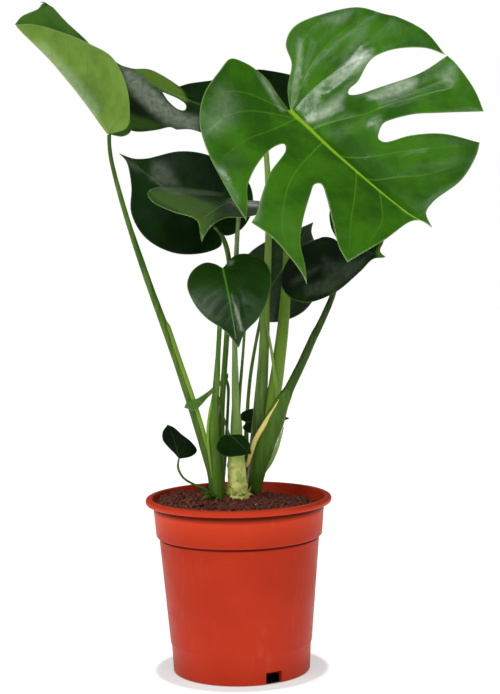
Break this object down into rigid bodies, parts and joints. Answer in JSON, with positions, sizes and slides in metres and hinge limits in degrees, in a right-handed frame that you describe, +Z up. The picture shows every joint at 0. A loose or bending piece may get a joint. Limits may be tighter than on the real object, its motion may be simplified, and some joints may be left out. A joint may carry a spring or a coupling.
{
  "type": "potted plant",
  "caption": "Potted climbing foliage plant with large split leaves and small heart-shaped leaves on long stalks, in a tapered nursery pot with a rolled rim.",
  "frame": {"origin": "centre of the pot's foot, in the plane the pot stands on", "axes": "+Z up along the pot's axis, -Y towards the viewer of the front"},
  "size_m": [0.4169, 0.2776, 0.6158],
  "materials": {
    "terracotta_plastic": "satin",
    "peat_soil": "rough, fibrous",
    "leaf_bright": "glossy, waxy",
    "leaf_dark": "glossy, waxy",
    "stalk_green": "smooth, slightly waxy"
  },
  "bodies": {
    "root": {"pot": "terracotta_plastic", "soil": "peat_soil", "leaf_fenestrated_front": "leaf_bright", "leaf_fenestrated_back": "leaf_dark", "leaf_folded_left": "leaf_bright", "leaf_heart_left": "leaf_dark", "leaf_drooping_left": "leaf_dark", "leaf_heart_front": "leaf_dark", "leaf_folded_right": "leaf_dark", "leaf_round_back": "leaf_dark", "leaf_low_left": "leaf_dark", "leaf_low_centre": "leaf_dark", "leaf_narrow_left": "stalk_green", "leaf_small_back": "leaf_dark", "leaf_small_centre": "leaf_dark", "shoot_left": "stalk_green", "shoot_centre": "stalk_green", "shoot_right": "stalk_green"}
  },
  "joints": []
}
